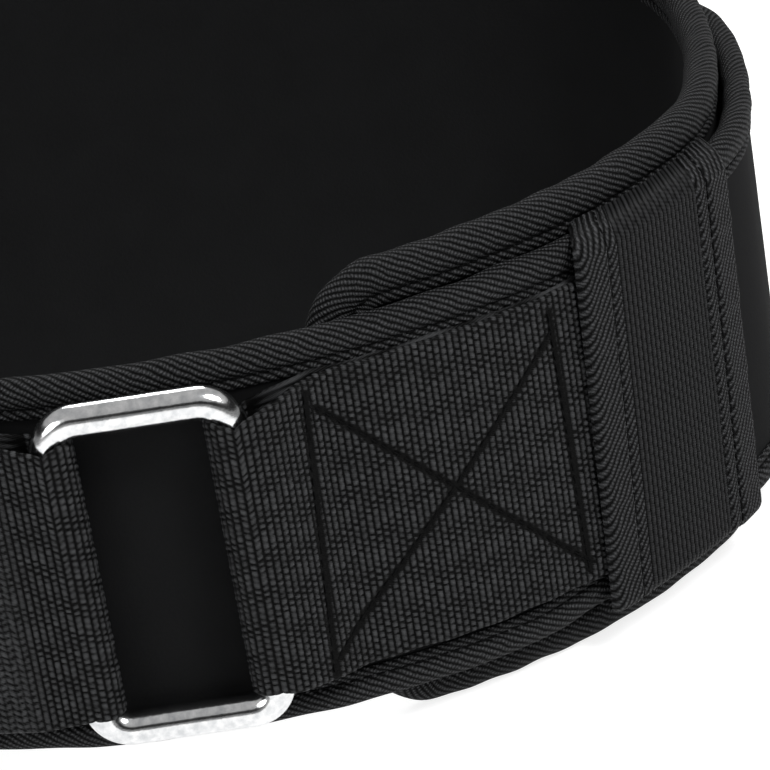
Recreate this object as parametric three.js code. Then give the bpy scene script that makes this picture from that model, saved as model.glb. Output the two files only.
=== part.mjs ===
// Weightlifting belt, fastened: a bound outer belt runs through keepers on a taller padded back piece,
// and a steel ring joins its two webbing straps at the front. Millimetres, +Z up, front towards -Y.
import * as THREE from 'three';

// Waist curve seen from above, as arcs from the middle of the front to the middle of the back
const frontRadius = 164;
const frontTurn = 43.5;
const shoulderRadius = 82;
const shoulderTurn = 24;
const sideRadius = 257;
const sideTurn = 14;
const backCornerRadius = 75;
const backCornerTurn = 80;
const facetTurn = 5;

// Facets of rounded corners, and the least step between two slices
const cornerFacets = 5;
const leastStep = 0.8;

// General clearances between sewn layers
const layerGap = 0.3;
const beltToPadGap = 0.5;

// Padded back piece: distances along the waist are measured from the middle of the front
const padHeight = 121.5;
const padStart = 4;
const padLeftEnd = 119;
const padCornerRadius = 21;
const padCoreThickness = 5.6;
const padInset = 0.5;
const padBackRise = 34;
const padRiseStart = 0.5;
const padRiseEnd = 0.95;
const padEndDrop = 1.2;
const padEndDropLength = 86;
const padBindingWidth = 11.5;
const padBindingWall = 1.2;
const liningThickness = 1.2;

// Outer belt
const beltHeight = 101.5;
const beltPanelThickness = 4.6;
const beltBindingWidth = 10;
const beltBindingWall = 1;
const beltCornerRadius = 12;
const beltFrontLift = 6.85;
const beltSideLift = 8.1;
const beltSideReach = 180;
const flapToPadGap = 7;
const leftEnd = 86;
const leftMergeLength = 62;
const padEndRamp = 15;

// Steel ring
const ringCentre = -38;
const ringInnerWidth = 36.7;
const ringInnerHeight = 75.6;
const ringWire = 8.4;
const ringCornerRadius = 8;
const ringSides = 10;

// Webbing straps
const strapWidth = 76.4;
const strapThickness = 1.8;
const strapBarGap = 0.3;
const strapWidthAtRing = ringInnerHeight + ringWire - 2 * ringCornerRadius;
const strapTuck = 6.6;
const ringStrapRamp = 24;
const strapWrapFacets = 8;
const closureStrapLength = 104;
const closureFoldLength = 94;
const closureRise = 9;

// Keepers on the back piece
const keeperOffset = 64;
const keeperLength = 59;
const keeperFrontLean = 0.035;
const keeperRearLean = 0.03;
const keeperFlare = 8;
const keeperMiddle = 25;
const keeperSqueeze = 2.2;
const keeperSqueezeRamp = 22;
const keeperWall = 1.8;
const keeperSideWall = 1.2;
const keeperRoom = 0.8;
const keeperEdgeGap = 0.4;
const keeperBend = 3;
const keeperBevel = 0.3;
const keeperFacetLength = 5;
const frontHemWidth = 12.6;
const rearHemWidth = 15;
const hemWall = 3;

// Folded binding tape: where its side starts to round, how thick its rim is and how far its flange thins,
// as shares of the bound edge's half thickness and of the tape's wall
const bindingShoulder = 0.7;
const bindingRim = 0.45;
const flangeThinning = 0.3;

// Colours and finishes
const materials = {
  foam: new THREE.MeshStandardMaterial({ color: 0x0c0c0d, roughness: 0.95, metalness: 0 }),
  lining: new THREE.MeshStandardMaterial({ color: 0x08090a, roughness: 0.9, metalness: 0 }),
  binding: new THREE.MeshStandardMaterial({ color: 0x161617, roughness: 0.85, metalness: 0 }),
  webbing: new THREE.MeshStandardMaterial({ color: 0x121213, roughness: 0.8, metalness: 0 }),
  keeper: new THREE.MeshStandardMaterial({ color: 0x0f0f10, roughness: 0.85, metalness: 0 }),
  steel: new THREE.MeshStandardMaterial({ color: 0xd4d7da, roughness: 0.22, metalness: 1 }),
};

const radians = THREE.MathUtils.degToRad;
const mix = THREE.MathUtils.lerp;
const ease = (from, to, value) => THREE.MathUtils.smoothstep(value, from, to);

// Half of the waist curve: the back arc closes it on the middle plane
function halfWaist() {
  const arcs = [
    { radius: frontRadius, turn: radians(frontTurn) },
    { radius: shoulderRadius, turn: radians(shoulderTurn) },
    { radius: sideRadius, turn: radians(sideTurn) },
    { radius: backCornerRadius, turn: radians(backCornerTurn) },
  ];
  const points = [new THREE.Vector2(0, 0)];
  let angle = 0;
  const follow = ({ radius, turn }) => {
    const start = points.at(-1);
    const facets = Math.max(2, Math.ceil(turn / radians(facetTurn)));
    for (let i = 1; i <= facets; i++) {
      const end = angle + (turn * i) / facets;
      points.push(new THREE.Vector2(
        start.x + radius * (Math.sin(end) - Math.sin(angle)),
        start.y + radius * (Math.cos(angle) - Math.cos(end)),
      ));
    }
    angle += turn;
  };
  arcs.forEach(follow);
  follow({ radius: points.at(-1).x / Math.sin(angle), turn: Math.PI - angle });
  return points;
}

// Whole waist curve as corners, each with its distance along the curve and its mitred outward normal
const waist = (() => {
  const right = halfWaist();
  const left = right.slice(1, -1).map((p) => new THREE.Vector2(-p.x, p.y)).reverse();
  const corners = [...right, ...left];
  const count = corners.length;
  const edge = (i) => corners[(i + 1) % count].clone().sub(corners[i % count]);
  const outward = (v) => new THREE.Vector2(v.y, -v.x).normalize();
  let distance = 0;
  const stations = corners.map((point, i) => {
    const before = outward(edge(i + count - 1));
    const after = outward(edge(i));
    const normal = before.clone().add(after);
    normal.divideScalar(normal.dot(after));
    const station = { point, normal, at: distance };
    distance += edge(i).length();
    return station;
  });
  return { stations, length: distance };
})();

// The stretch of the waist curve that a distance lies on, and how far along it
function stretch(at) {
  const turns = Math.floor(at / waist.length);
  const rest = at - turns * waist.length;
  const { stations } = waist;
  let i = stations.length - 1;
  while (stations[i].at > rest) i--;
  const next = i + 1 < stations.length ? stations[i + 1].at : waist.length;
  const share = (rest - stations[i].at) / (next - stations[i].at);
  return { a: stations[i], b: stations[(i + 1) % stations.length], share, turns, next };
}

// A point at a distance along the waist, lifted outwards from the curve, at a height
function onWaist(at, lift, z) {
  const { a, b, share } = stretch(at);
  const x = mix(a.point.x + a.normal.x * lift, b.point.x + b.normal.x * lift, share);
  const y = mix(a.point.y + a.normal.y * lift, b.point.y + b.normal.y * lift, share);
  return new THREE.Vector3(x, y, z);
}

// Straightens a lift between the corners of the waist curve, so that layers stay parallel
function faceted(lift) {
  return (at) => {
    const { a, share, turns, next } = stretch(at);
    const base = turns * waist.length;
    return mix(lift(base + a.at), lift(base + next), share);
  };
}

// Distances from one place to another, with every corner of the waist curve between them
function stationsBetween(from, to) {
  const list = [from];
  for (let turn = -1; turn <= 1; turn++) {
    for (const { at } of waist.stations) {
      const place = at + turn * waist.length;
      if (place > from + leastStep && place < to - leastStep) list.push(place);
    }
  }
  return [...list, to].sort((a, b) => a - b);
}

// A closed mesh through rings of equal count; an open run of rings gets flat caps
function loft(name, material, rings, cap = null) {
  const count = rings[0].length;
  const positions = rings.flat().flatMap((p) => [p.x, p.y, p.z]);
  const faces = [];
  const spans = cap ? rings.length - 1 : rings.length;
  for (let i = 0; i < spans; i++) {
    const here = i * count;
    const there = ((i + 1) % rings.length) * count;
    for (let j = 0; j < count; j++) {
      const k = (j + 1) % count;
      faces.push([here + j, here + k, there + k], [here + j, there + k, there + j]);
    }
  }
  const last = (rings.length - 1) * count;
  for (const [a, b, c] of cap ?? []) {
    faces.push([a, c, b], [last + a, last + b, last + c]);
  }
  const geometry = new THREE.BufferGeometry();
  geometry.setAttribute('position', new THREE.Float32BufferAttribute(positions, 3));
  geometry.setIndex(facesOutward(positions, faces).flat());
  geometry.computeVertexNormals();
  const mesh = new THREE.Mesh(geometry, material);
  mesh.name = name;
  return mesh;
}

// The cap of a section with four corners
const squareCap = [[0, 1, 2], [0, 2, 3]];

// The cap of a channel section, in strips between its inner and outer corners
function channelCap(count) {
  const first = count / 4;
  const cap = [];
  for (let k = 0; k < count / 2 - 1; k++) {
    const inner = (first - 1 - k + count) % count;
    const next = (inner - 1 + count) % count;
    const outer = first + k;
    cap.push([next, inner, outer], [next, outer, outer + 1]);
  }
  return cap;
}

// Turns all faces over where they enclose a negative volume
function facesOutward(positions, faces) {
  const corner = (i) => new THREE.Vector3().fromArray(positions, 3 * i);
  const volume = faces.reduce((sum, [a, b, c]) => sum + corner(a).dot(corner(b).cross(corner(c))), 0);
  return volume > 0 ? faces : faces.map(([a, b, c]) => [a, c, b]);
}

// Levels measured from the middle of the belt's height
const padBottom = () => -padHeight / 2;
const padRight = padStart;
const padLeft = waist.length - padLeftEnd;
const padCentre = (padRight + padLeft) / 2;
const mirrored = (at) => padRight + padLeft - at;

function padTop(at) {
  const half = waist.length / 2;
  const share = 1 - Math.abs(at - half) / half;
  return padHeight / 2 + padBackRise * ease(padRiseStart, padRiseEnd, share);
}

const padHalf = padCoreThickness / 2 + layerGap + padBindingWall;
const beltHalf = beltPanelThickness / 2 + layerGap + beltBindingWall;

// The back piece's middle layer, a little further in at its two ends
const padLift = faceted((at) => {
  const toEnd = Math.min(at - padRight, padLeft - at);
  return -padInset - padEndDrop * (1 - ease(0, padEndDropLength, toEnd));
});

// The outer belt's middle layer: under the ring, over the back piece, and over its own flap on the left
const flapStart = flapToPadGap - padLeftEnd;
const beltLeft = waist.length - leftEnd;
const beltOverPadEnd = padHalf + beltToPadGap + beltHalf - padInset - padEndDrop;
const overlapLift = beltFrontLift + 2 * beltHalf + beltToPadGap;

const beltLift = faceted((at) => {
  const reachPad = ease(padRight - padEndRamp, padRight - layerGap, at);
  const front = mix(beltFrontLift, beltOverPadEnd, reachPad);
  const side = mix(front, beltSideLift, ease(padRight, beltSideReach, at));
  return mix(side, overlapLift, ease(0, leftMergeLength, at - (padLeft - leftMergeLength)));
});

// The outer belt's edges: the keepers press its lower edge up a little
function beltTop() {
  return beltHeight / 2;
}

function beltBottom(at) {
  const start = padRight + keeperOffset;
  const end = start + keeperLength + keeperFlare;
  const pressed = (place) => ease(start - keeperSqueezeRamp, start, place)
    * (1 - ease(end, end + keeperSqueezeRamp, place));
  return keeperSqueeze * (pressed(at) + pressed(mirrored(at))) - beltHeight / 2;
}

// A rounded outline of a strip in the plane of distance and height, run once round its edge
function stripOutline({ from, to, bottom, top, radius }) {
  const outline = [];
  const add = (at, z, nAt, nZ) => outline.push({ at, z, nAt, nZ });
  const corner = (at, z, start) => {
    for (let i = 0; i <= cornerFacets; i++) {
      const angle = radians(start + (90 * i) / cornerFacets);
      add(at + radius * Math.cos(angle), z + radius * Math.sin(angle), Math.cos(angle), Math.sin(angle));
    }
  };
  const inner = stationsBetween(from + radius, to - radius).slice(1, -1);
  const edge = (level, side) => (at) => {
    const slope = (level(at + 1) - level(at - 1)) / 2;
    const length = Math.hypot(slope, 1);
    add(at, level(at), (-side * slope) / length, side / length);
  };
  corner(from + radius, bottom(from + radius) + radius, 180);
  inner.forEach(edge(bottom, -1));
  corner(to - radius, bottom(to - radius) + radius, 270);
  corner(to - radius, top(to - radius) - radius, 0);
  [...inner].reverse().forEach(edge(top, 1));
  corner(from + radius, top(from + radius) - radius, 90);
  return outline;
}

// Folded binding tape round the outline of a strip, with the strip's edge inside its fold
function edgeBinding(name, outline, lift, { width, wall, half, coreHalf }) {
  const inside = coreHalf + layerGap;
  const side = [
    { depth: width, out: inside },
    { depth: width, out: half - wall * flangeThinning },
    { depth: half * bindingShoulder, out: half },
    { depth: 0, out: half * bindingRim },
  ];
  const seat = { depth: wall + layerGap, out: inside };
  const section = [...side, ...side.slice().reverse().map(flipped), flipped(seat), seat];
  const rings = outline.map(({ at, z, nAt, nZ }) => section.map(({ depth, out }) => {
    const place = at - nAt * depth;
    return onWaist(place, lift(place) + out, z - nZ * depth);
  }));
  return loft(name, materials.binding, rings);
}

function flipped({ depth, out }) {
  return { depth, out: -out };
}

// A flat layer with rounded corners, inset from a strip's outline
function flatLayer(name, material, { from, to, bottom, top, radius, inset, inner, outer, lift }) {
  const start = from + inset;
  const end = to - inset;
  const round = Math.max(radius - inset, inset);
  const corners = Array.from({ length: cornerFacets }, (_, i) => {
    const angle = radians((90 * i) / cornerFacets);
    return round * (1 - Math.cos(angle));
  });
  const all = [
    ...corners.map((d) => start + d),
    ...stationsBetween(start + round, end - round),
    ...corners.reverse().map((d) => end - d),
  ];
  const cornerLoss = (at) => {
    const reach = Math.min(at - start, end - at);
    if (reach >= round) return 0;
    return round - Math.sqrt(Math.max(0, round ** 2 - (round - reach) ** 2));
  };
  const rings = all.map((at) => {
    const loss = cornerLoss(at);
    const low = bottom(at) + inset + loss;
    const high = top(at) - inset - loss;
    const near = lift(at) + inner;
    const far = lift(at) + outer;
    return [[near, low], [far, low], [far, high], [near, high]].map(([l, z]) => onWaist(at, l, z));
  });
  return loft(name, material, rings, squareCap);
}

// Padded back piece: core, lining and binding
const padShape = {
  from: padRight,
  to: padLeft,
  bottom: padBottom,
  top: padTop,
  radius: padCornerRadius,
};
const liningInset = padBindingWidth + 2 * layerGap;

function backPad() {
  const coreHalf = padCoreThickness / 2;
  const core = { ...padShape, inset: padBindingWall + 3 * layerGap, inner: -coreHalf, outer: coreHalf };
  const skin = {
    ...padShape,
    inset: liningInset,
    inner: -coreHalf - layerGap - liningThickness,
    outer: -coreHalf - layerGap,
  };
  return [
    flatLayer('back_pad', materials.foam, { ...core, lift: padLift }),
    flatLayer('pad_lining', materials.lining, { ...skin, lift: padLift }),
    edgeBinding('pad_binding', stripOutline(padShape), padLift, {
      width: padBindingWidth,
      wall: padBindingWall,
      half: padHalf,
      coreHalf,
    }),
  ];
}

// Outer belt: panel and binding
const beltShape = {
  from: flapStart,
  to: beltLeft,
  bottom: beltBottom,
  top: beltTop,
  radius: beltCornerRadius,
};

function outerBelt() {
  const coreHalf = beltPanelThickness / 2;
  const panel = { ...beltShape, inset: beltBindingWall + 3 * layerGap, inner: -coreHalf, outer: coreHalf };
  return [
    flatLayer('belt_panel', materials.foam, { ...panel, lift: beltLift }),
    edgeBinding('belt_binding', stripOutline(beltShape), beltLift, {
      width: beltBindingWidth,
      wall: beltBindingWall,
      half: beltHalf,
      coreHalf,
    }),
  ];
}

// Lifts of the webbing layers and of the ring's bars
const sewnLift = beltPanelThickness / 2 + layerGap + strapThickness / 2;
const overBindingLift = beltHalf + layerGap + strapThickness / 2;
const layerStep = strapThickness + layerGap;
const wrapRadius = ringWire / 2 + strapBarGap + strapThickness / 2;
const barReach = (ringInnerWidth + ringWire) / 2;
const ringSag = barReach ** 2 / (2 * frontRadius);
const barLift = beltLift(ringCentre) + beltHalf + layerGap + ringWire / 2 + ringSag;
const barStep = Math.asin(barReach / (frontRadius + barLift)) * frontRadius;
const rightBar = ringCentre + barStep;
const leftBar = ringCentre - barStep;

// Steel ring, flat and square to the waist at its middle
function steelRing() {
  const width = ringInnerWidth + ringWire;
  const height = ringInnerHeight + ringWire;
  const path = [];
  const corner = (x, z, start) => {
    for (let i = 0; i <= cornerFacets; i++) {
      const angle = radians(start + (90 * i) / cornerFacets);
      const nx = Math.cos(angle);
      const nz = Math.sin(angle);
      path.push({ x: x + ringCornerRadius * nx, z: z + ringCornerRadius * nz, nx, nz });
    }
  };
  const [cx, cz] = [width / 2 - ringCornerRadius, height / 2 - ringCornerRadius];
  corner(cx, cz, 0);
  corner(-cx, cz, 90);
  corner(-cx, -cz, 180);
  corner(cx, -cz, 270);
  const reach = (frontRadius + barLift) * Math.cos(barStep / frontRadius);
  const turn = ringCentre / frontRadius;
  const out = new THREE.Vector3(Math.sin(turn), -Math.cos(turn), 0);
  const along = new THREE.Vector3(Math.cos(turn), Math.sin(turn), 0);
  const centre = new THREE.Vector3(0, frontRadius, 0).addScaledVector(out, reach);
  const rings = path.map(({ x, z, nx, nz }) => Array.from({ length: ringSides }, (_, j) => {
    const angle = (2 * Math.PI * (j + 0.5)) / ringSides;
    const side = (ringWire / 2) * Math.cos(angle);
    const rise = (ringWire / 2) * Math.sin(angle);
    return centre.clone().addScaledVector(along, x + nx * side).addScaledVector(out, rise)
      .add(new THREE.Vector3(0, 0, z + nz * side));
  }));
  return loft('ring', materials.steel, rings);
}

// A webbing strap as a ribbon along a path of distances and lifts
function ribbon(name, path) {
  const t = strapThickness / 2;
  const rings = path.map((here, i) => {
    const a = path[Math.max(i - 1, 0)];
    const b = path[Math.min(i + 1, path.length - 1)];
    const before = new THREE.Vector2(here.at - a.at, here.lift - a.lift).normalize();
    const after = new THREE.Vector2(b.at - here.at, b.lift - here.lift).normalize();
    const way = before.clone().add(after).normalize();
    const stretchOut = i > 0 && i < path.length - 1 ? 1 / Math.max(way.dot(after), 0.5) : 1;
    const normal = new THREE.Vector2(-way.y, way.x).multiplyScalar(t * stretchOut);
    const low = { at: here.at - normal.x, lift: here.lift - normal.y };
    const high = { at: here.at + normal.x, lift: here.lift + normal.y };
    const half = here.width / 2;
    return [
      onWaist(low.at, low.lift, -half),
      onWaist(high.at, high.lift, -half),
      onWaist(high.at, high.lift, half),
      onWaist(low.at, low.lift, half),
    ];
  });
  return loft(name, materials.webbing, rings, squareCap);
}

// Half a turn of webbing round a ring bar, from below it to above it
function barWrap(bar, side) {
  return Array.from({ length: strapWrapFacets + 1 }, (_, i) => {
    const angle = -Math.PI / 2 + (Math.PI * i) / strapWrapFacets;
    return {
      at: bar + side * wrapRadius * Math.cos(angle),
      lift: barLift + wrapRadius * Math.sin(angle),
      width: strapWidthAtRing,
    };
  });
}

function widthNear(bar, at) {
  return mix(strapWidthAtRing, strapWidth, ease(0, ringStrapRamp / 2, Math.abs(at - bar)));
}

// Ring strap: sewn flat on the belt, folded round the ring's right bar and back over itself
function ringStrap() {
  const places = stationsBetween(rightBar + leastStep, keeperFront(0) + strapTuck);
  const layer = (atBar, sewn) => places.map((at) => ({
    at,
    lift: mix(atBar, beltLift(at) + sewn, ease(0, ringStrapRamp, at - rightBar)),
    width: widthNear(rightBar, at),
  }));
  const under = layer(barLift - wrapRadius, sewnLift).reverse();
  const over = layer(barLift + wrapRadius, sewnLift + layerStep);
  return ribbon('ring_strap', [...under, ...barWrap(rightBar, -1), ...over]);
}

// Closure strap: sewn on the belt's left end, passed round the ring's left bar and folded back over itself
function closureStrap() {
  const leftEdge = -leftEnd;
  const onBinding = leftEdge - beltBindingWidth - leastStep;
  const leave = leftBar - leastStep;
  const lowerLift = (at) => {
    const sewn = mix(sewnLift, overBindingLift, ease(onBinding - closureRise, onBinding, at));
    const carried = beltLift(at + waist.length) + sewn;
    return mix(carried, barLift - wrapRadius, ease(leftEdge + leastStep, leave, at));
  };
  const upperLift = (at, lower) => {
    const stacked = lower + layerStep;
    if (at <= leftEdge) return stacked;
    const onEnd = overlapLift + overBindingLift + layerStep;
    return Math.max(stacked, mix(onEnd, barLift + wrapRadius, ease(leftEdge, leave, at)));
  };
  const parallel = faceted(lowerLift);
  const bends = [onBinding, leftEdge, leftEdge + beltBindingWidth / 4, (leftEdge + leave) / 2];
  const places = [...stationsBetween(leftBar - closureStrapLength, leave), ...bends];
  const under = spaced(places).map((at) => ({
    at,
    lift: at < onBinding - closureRise ? parallel(at) : lowerLift(at),
    width: widthNear(leftBar, at),
  }));
  const folded = under.filter(({ at }) => at > leftBar - closureFoldLength).reverse();
  const over = folded.map(({ at, lift, width }) => ({ at, lift: upperLift(at, lift), width }));
  return ribbon('closure_strap', [...under, ...barWrap(leftBar, 1), ...over]);
}

// Places in order, without any that lies too close to the one before it
function spaced(places) {
  return places.sort((a, b) => a - b).filter((at, i, all) => i === 0 || at - all[i - 1] > leastStep);
}

// A keeper's slice: an inward-open channel over the belt, with its lips on the back piece's binding
function channelSection(wall, base, top) {
  const side = (inner) => {
    const outer = inner + keeperSideWall;
    return [
      { z: keeperMiddle, lift: top },
      { z: inner - keeperBend, lift: top },
      { z: inner, lift: top - keeperBend },
      { z: inner, lift: base },
      { z: outer, lift: base },
      { z: outer, lift: top - keeperBend + wall * keeperBevel },
      { z: outer - keeperBend - keeperSideWall / 2, lift: top + wall },
      { z: keeperMiddle, lift: top + wall },
    ];
  };
  const upper = side(beltHeight / 2 + keeperEdgeGap);
  const lower = side(beltHeight / 2 - keeperSqueeze + keeperEdgeGap);
  return [...upper, ...lower.reverse().map(({ z, lift }) => ({ z: -z, lift }))];
}

// A stretch of a keeper between two shares of its length, set further back the lower its sides reach
function keeperPiece(name, material, wall, fromEdge, toEdge, flip) {
  const steps = Math.max(1, Math.round((toEdge(0) - fromEdge(0)) / keeperFacetLength));
  const rings = [];
  for (let i = 0; i <= steps; i++) {
    const middle = mix(fromEdge(0), toEdge(0), i / steps);
    const place = flip ? mirrored(middle) : middle;
    const base = padLift(place) + padHalf + layerGap;
    const share = (middle - keeperFront(0)) / keeperLength;
    const top = beltLift(place) + mix(overStraps, overBelt, share) + keeperRoom;
    const slice = channelSection(wall, base, top);
    rings.push(slice.map(({ z, lift }) => {
      const fall = Math.max(0, (top - lift) / (top - base));
      const at = mix(fromEdge(z), toEdge(z), i / steps) + keeperFlare * fall;
      return onWaist(flip ? mirrored(at) : at, lift, z);
    }));
  }
  return loft(name, material, rings, channelCap(rings[0].length));
}

const overStraps = sewnLift + layerStep + strapThickness / 2;
const overBelt = beltHalf;
const keeperFront = (z) => padRight + keeperOffset + keeperFrontLean * z;
const keeperRear = (z) => padRight + keeperOffset + keeperLength + keeperRearLean * z;

// A keeper: a ribbed web between two hemmed edges
function keeper(side, flip) {
  const webStart = (z) => keeperFront(z) + frontHemWidth + 2 * layerGap;
  const webEnd = (z) => keeperRear(z) - rearHemWidth - 2 * layerGap;
  return [
    keeperPiece(`${side}_keeper_front_hem`, materials.binding, hemWall, keeperFront,
      (z) => keeperFront(z) + frontHemWidth, flip),
    keeperPiece(`${side}_keeper`, materials.keeper, keeperWall, webStart, webEnd, flip),
    keeperPiece(`${side}_keeper_rear_hem`, materials.binding, hemWall,
      (z) => keeperRear(z) - rearHemWidth, keeperRear, flip),
  ];
}

// The whole belt, standing on the back piece's lower edge with the origin under the middle of its box
const belt = new THREE.Group();
belt.add(
  ...backPad(),
  ...outerBelt(),
  steelRing(),
  ringStrap(),
  closureStrap(),
  ...keeper('right', false),
  ...keeper('left', true),
);
const box = new THREE.Box3().setFromObject(belt);
belt.position.set(-(box.min.x + box.max.x) / 2, -(box.min.y + box.max.y) / 2, -box.min.z);

export default belt;
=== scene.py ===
"""The weightlifting belt's looks: bound padded layers, woven straps, keepers and a plated ring.

Sizes of pieces are in millimetres and are turned into metres where a point is placed.
"""
import math

import bpy
import numpy as np
from mathutils import Euler, Matrix, Vector


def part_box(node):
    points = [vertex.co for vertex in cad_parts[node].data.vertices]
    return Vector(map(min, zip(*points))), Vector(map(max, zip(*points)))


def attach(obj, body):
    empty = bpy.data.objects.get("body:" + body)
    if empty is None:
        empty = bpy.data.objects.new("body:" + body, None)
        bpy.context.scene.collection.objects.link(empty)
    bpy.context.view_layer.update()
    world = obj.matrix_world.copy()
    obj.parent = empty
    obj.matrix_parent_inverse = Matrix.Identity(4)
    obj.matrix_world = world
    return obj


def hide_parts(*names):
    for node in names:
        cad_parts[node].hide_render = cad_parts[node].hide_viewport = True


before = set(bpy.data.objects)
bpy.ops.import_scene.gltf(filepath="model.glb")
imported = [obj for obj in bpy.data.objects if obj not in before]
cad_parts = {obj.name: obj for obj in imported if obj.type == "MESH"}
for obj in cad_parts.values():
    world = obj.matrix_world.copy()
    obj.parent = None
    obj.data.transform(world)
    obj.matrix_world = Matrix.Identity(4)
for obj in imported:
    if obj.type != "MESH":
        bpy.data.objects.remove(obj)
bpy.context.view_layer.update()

MM = 0.001

# Waist curve seen from above: radius and turn of each arc, from the middle of the front to the back
WAIST_ARCS = ((164, 43.5), (82, 24), (257, 14), (75, 80))
LAYER_GAP = 0.3
BELT_TO_PAD_GAP = 0.5

# Padded back piece
PAD_HEIGHT = 121.5
PAD_START = 4
PAD_LEFT_END = 119
PAD_CORNER = 21
PAD_CORE = 5.6
PAD_INSET = 0.5
PAD_BACK_RISE = 34
PAD_RISE = (0.5, 0.95)
PAD_END_DROP = 1.2
PAD_END_DROP_LENGTH = 86
PAD_TAPE = {"width": 11.5, "wall": 1.2, "core_half": PAD_CORE / 2, "groove": 8.4}
LINING_THICKNESS = 1.2

# Outer belt
BELT_HEIGHT = 101.5
BELT_CORE = 4.6
BELT_TAPE = {"width": 10, "wall": 1.0, "core_half": BELT_CORE / 2, "groove": 7.2}
BELT_CORNER = 12
BELT_FRONT_LIFT = 6.85
BELT_SIDE_LIFT = 8.1
BELT_SIDE_REACH = 180
FLAP_END = 112
LEFT_END = 86
LEFT_MERGE = 62
PAD_END_RAMP = 15

# Ring and straps
RING_CENTRE = -38
RING_WIDTH = 36.7
RING_HEIGHT = 75.6
RING_WIRE = 8.4
RING_CORNER = 8
STRAP_WIDTH = 76.4
STRAP_THICKNESS = 1.8
STRAP_BAR_GAP = 0.3
STRAP_RAMP = 24
STRAP_AT_BAR = 71
STRAP_SPREAD = 20
STRAP_TOP_RISE = 3.4
STRAP_TUCK = 6.6
CLOSURE_LENGTH = 104
CLOSURE_FOLD = 94
CLOSURE_RISE = 9

# The ring strap's seams: two sides of a box and a cross, as distances along the waist and heights
RING_STRAP_SEAMS = (
    ((-0.8, 38), (-5.2, -36.5)),
    ((61.5, 37), (62.5, -34.9)),
    ((1, 33.5), (63.5, -33)),
    ((-4, -33), (62, 32.5)),
)

# Keepers
KEEPER_OFFSET = 64
KEEPER_LENGTH = 59
KEEPER_LEANS = (0.035, 0.03)
KEEPER_FLARE = 8
KEEPER_SQUEEZE = 2.2
KEEPER_SQUEEZE_RAMP = 22
KEEPER_ROOM = 0.8
KEEPER_SIDE_THINNING = 0.55
KEEPER_COLUMNS = 100
KEEPER_EDGE_GAP = 0.4
KEEPER_BEND = 3
FRONT_HEM = 12.6
REAR_HEM = 15
HEM_SEAM = 0.7
WEB_TUCK = 1.5

# Weaves and stitches; the scatter numbers spread the floats' heights, and each strap has zigzag rows
# between two distances from its bar, which for the ring strap lie past its end
WEAVE_COLUMN = 1.83
WEAVE_ROW = 1.76
WEAVE_RELIEF = 0.62
SCATTER = (12.9898, 78.233, 43758.5453)
CLOSURE_ZIGZAG = (8, 16)
RING_ZIGZAG = (300, 301)
RIB_PITCH = 1.6
RIB_RELIEF = 0.5
RIB_DASH = 2.9
STITCH_PITCH = 3.4
STITCH_LENGTH = 2.7
STITCH_RADIUS = 0.3


def ease(start, end, value):
    share = np.clip((value - start) / (end - start), 0, 1)
    return share * share * (3 - 2 * share)


def mix(a, b, share):
    return a + (b - a) * share


def ripple(u, length, waves, seed):
    """Smooth noise of about -1 to 1 that closes on itself after a length."""
    rng = np.random.RandomState(seed)
    total = np.zeros_like(np.asarray(u, float))
    for count in waves:
        turns = max(1, round(count * rng.uniform(0.8, 1.25)))
        total += np.sin(2 * np.pi * turns * u / length + rng.uniform(0, 2 * np.pi))
    return total / math.sqrt(len(waves))


def waist_arcs():
    """Starts of the arcs of half the waist curve; the last one closes it on the middle plane."""
    arcs = []
    x = y = angle = at = 0.0
    for radius, degrees in (*WAIST_ARCS, (None, None)):
        turn = math.pi - angle if radius is None else math.radians(degrees)
        radius = x / math.sin(angle) if radius is None else radius
        arcs.append((at, x, y, angle, radius))
        x += radius * (math.sin(angle + turn) - math.sin(angle))
        y += radius * (math.cos(angle) - math.cos(angle + turn))
        angle += turn
        at += radius * turn
    return np.array(arcs), 2 * at, y


ARCS, WAIST, WAIST_DEPTH = waist_arcs()

# The middle of the waist's front, in the frame
pad_low, pad_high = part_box("back_pad")
binding_low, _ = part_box("pad_binding")
FRONT = Vector((
    (pad_low[0] + pad_high[0]) / 2,
    pad_high[1] - (WAIST_DEPTH - PAD_INSET + PAD_CORE / 2) * MM,
    binding_low[2] + PAD_HEIGHT / 2 * MM,
))


def place(at, lift, z):
    """Points at distances along the waist, lifted outwards, at heights from the belt's middle; in metres."""
    at, lift, z = np.broadcast_arrays(*(np.asarray(v, float) for v in (at, lift, z)))
    turned = np.mod(at, WAIST)
    left = turned > WAIST / 2
    along = np.where(left, WAIST - turned, turned)
    index = np.searchsorted(ARCS[:, 0], along, side="right") - 1
    start, x0, y0, angle0, radius = (ARCS[index, i] for i in range(5))
    angle = angle0 + (along - start) / radius
    x = x0 + radius * (np.sin(angle) - np.sin(angle0)) + np.sin(angle) * lift
    y = y0 + radius * (np.cos(angle0) - np.cos(angle)) - np.cos(angle) * lift
    points = np.stack([np.where(left, -x, x), y, z], -1)
    return points * MM + np.array(FRONT)


# Levels and lifts of the layers
PAD_LEFT = WAIST - PAD_LEFT_END
PAD_HALF = PAD_CORE / 2 + LAYER_GAP + PAD_TAPE["wall"]
BELT_HALF = BELT_CORE / 2 + LAYER_GAP + BELT_TAPE["wall"]


def pad_top(at):
    half = WAIST / 2
    share = 1 - np.abs(at - half) / half
    return PAD_HEIGHT / 2 + PAD_BACK_RISE * ease(*PAD_RISE, share)


def pad_lift(at):
    to_end = np.minimum(at - PAD_START, PAD_LEFT - at)
    return -PAD_INSET - PAD_END_DROP * (1 - ease(0, PAD_END_DROP_LENGTH, to_end))


def pad_bottom(at):
    return np.full_like(np.asarray(at, float), -PAD_HEIGHT / 2)


def belt_top(at):
    return np.full_like(np.asarray(at, float), BELT_HEIGHT / 2)


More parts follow.
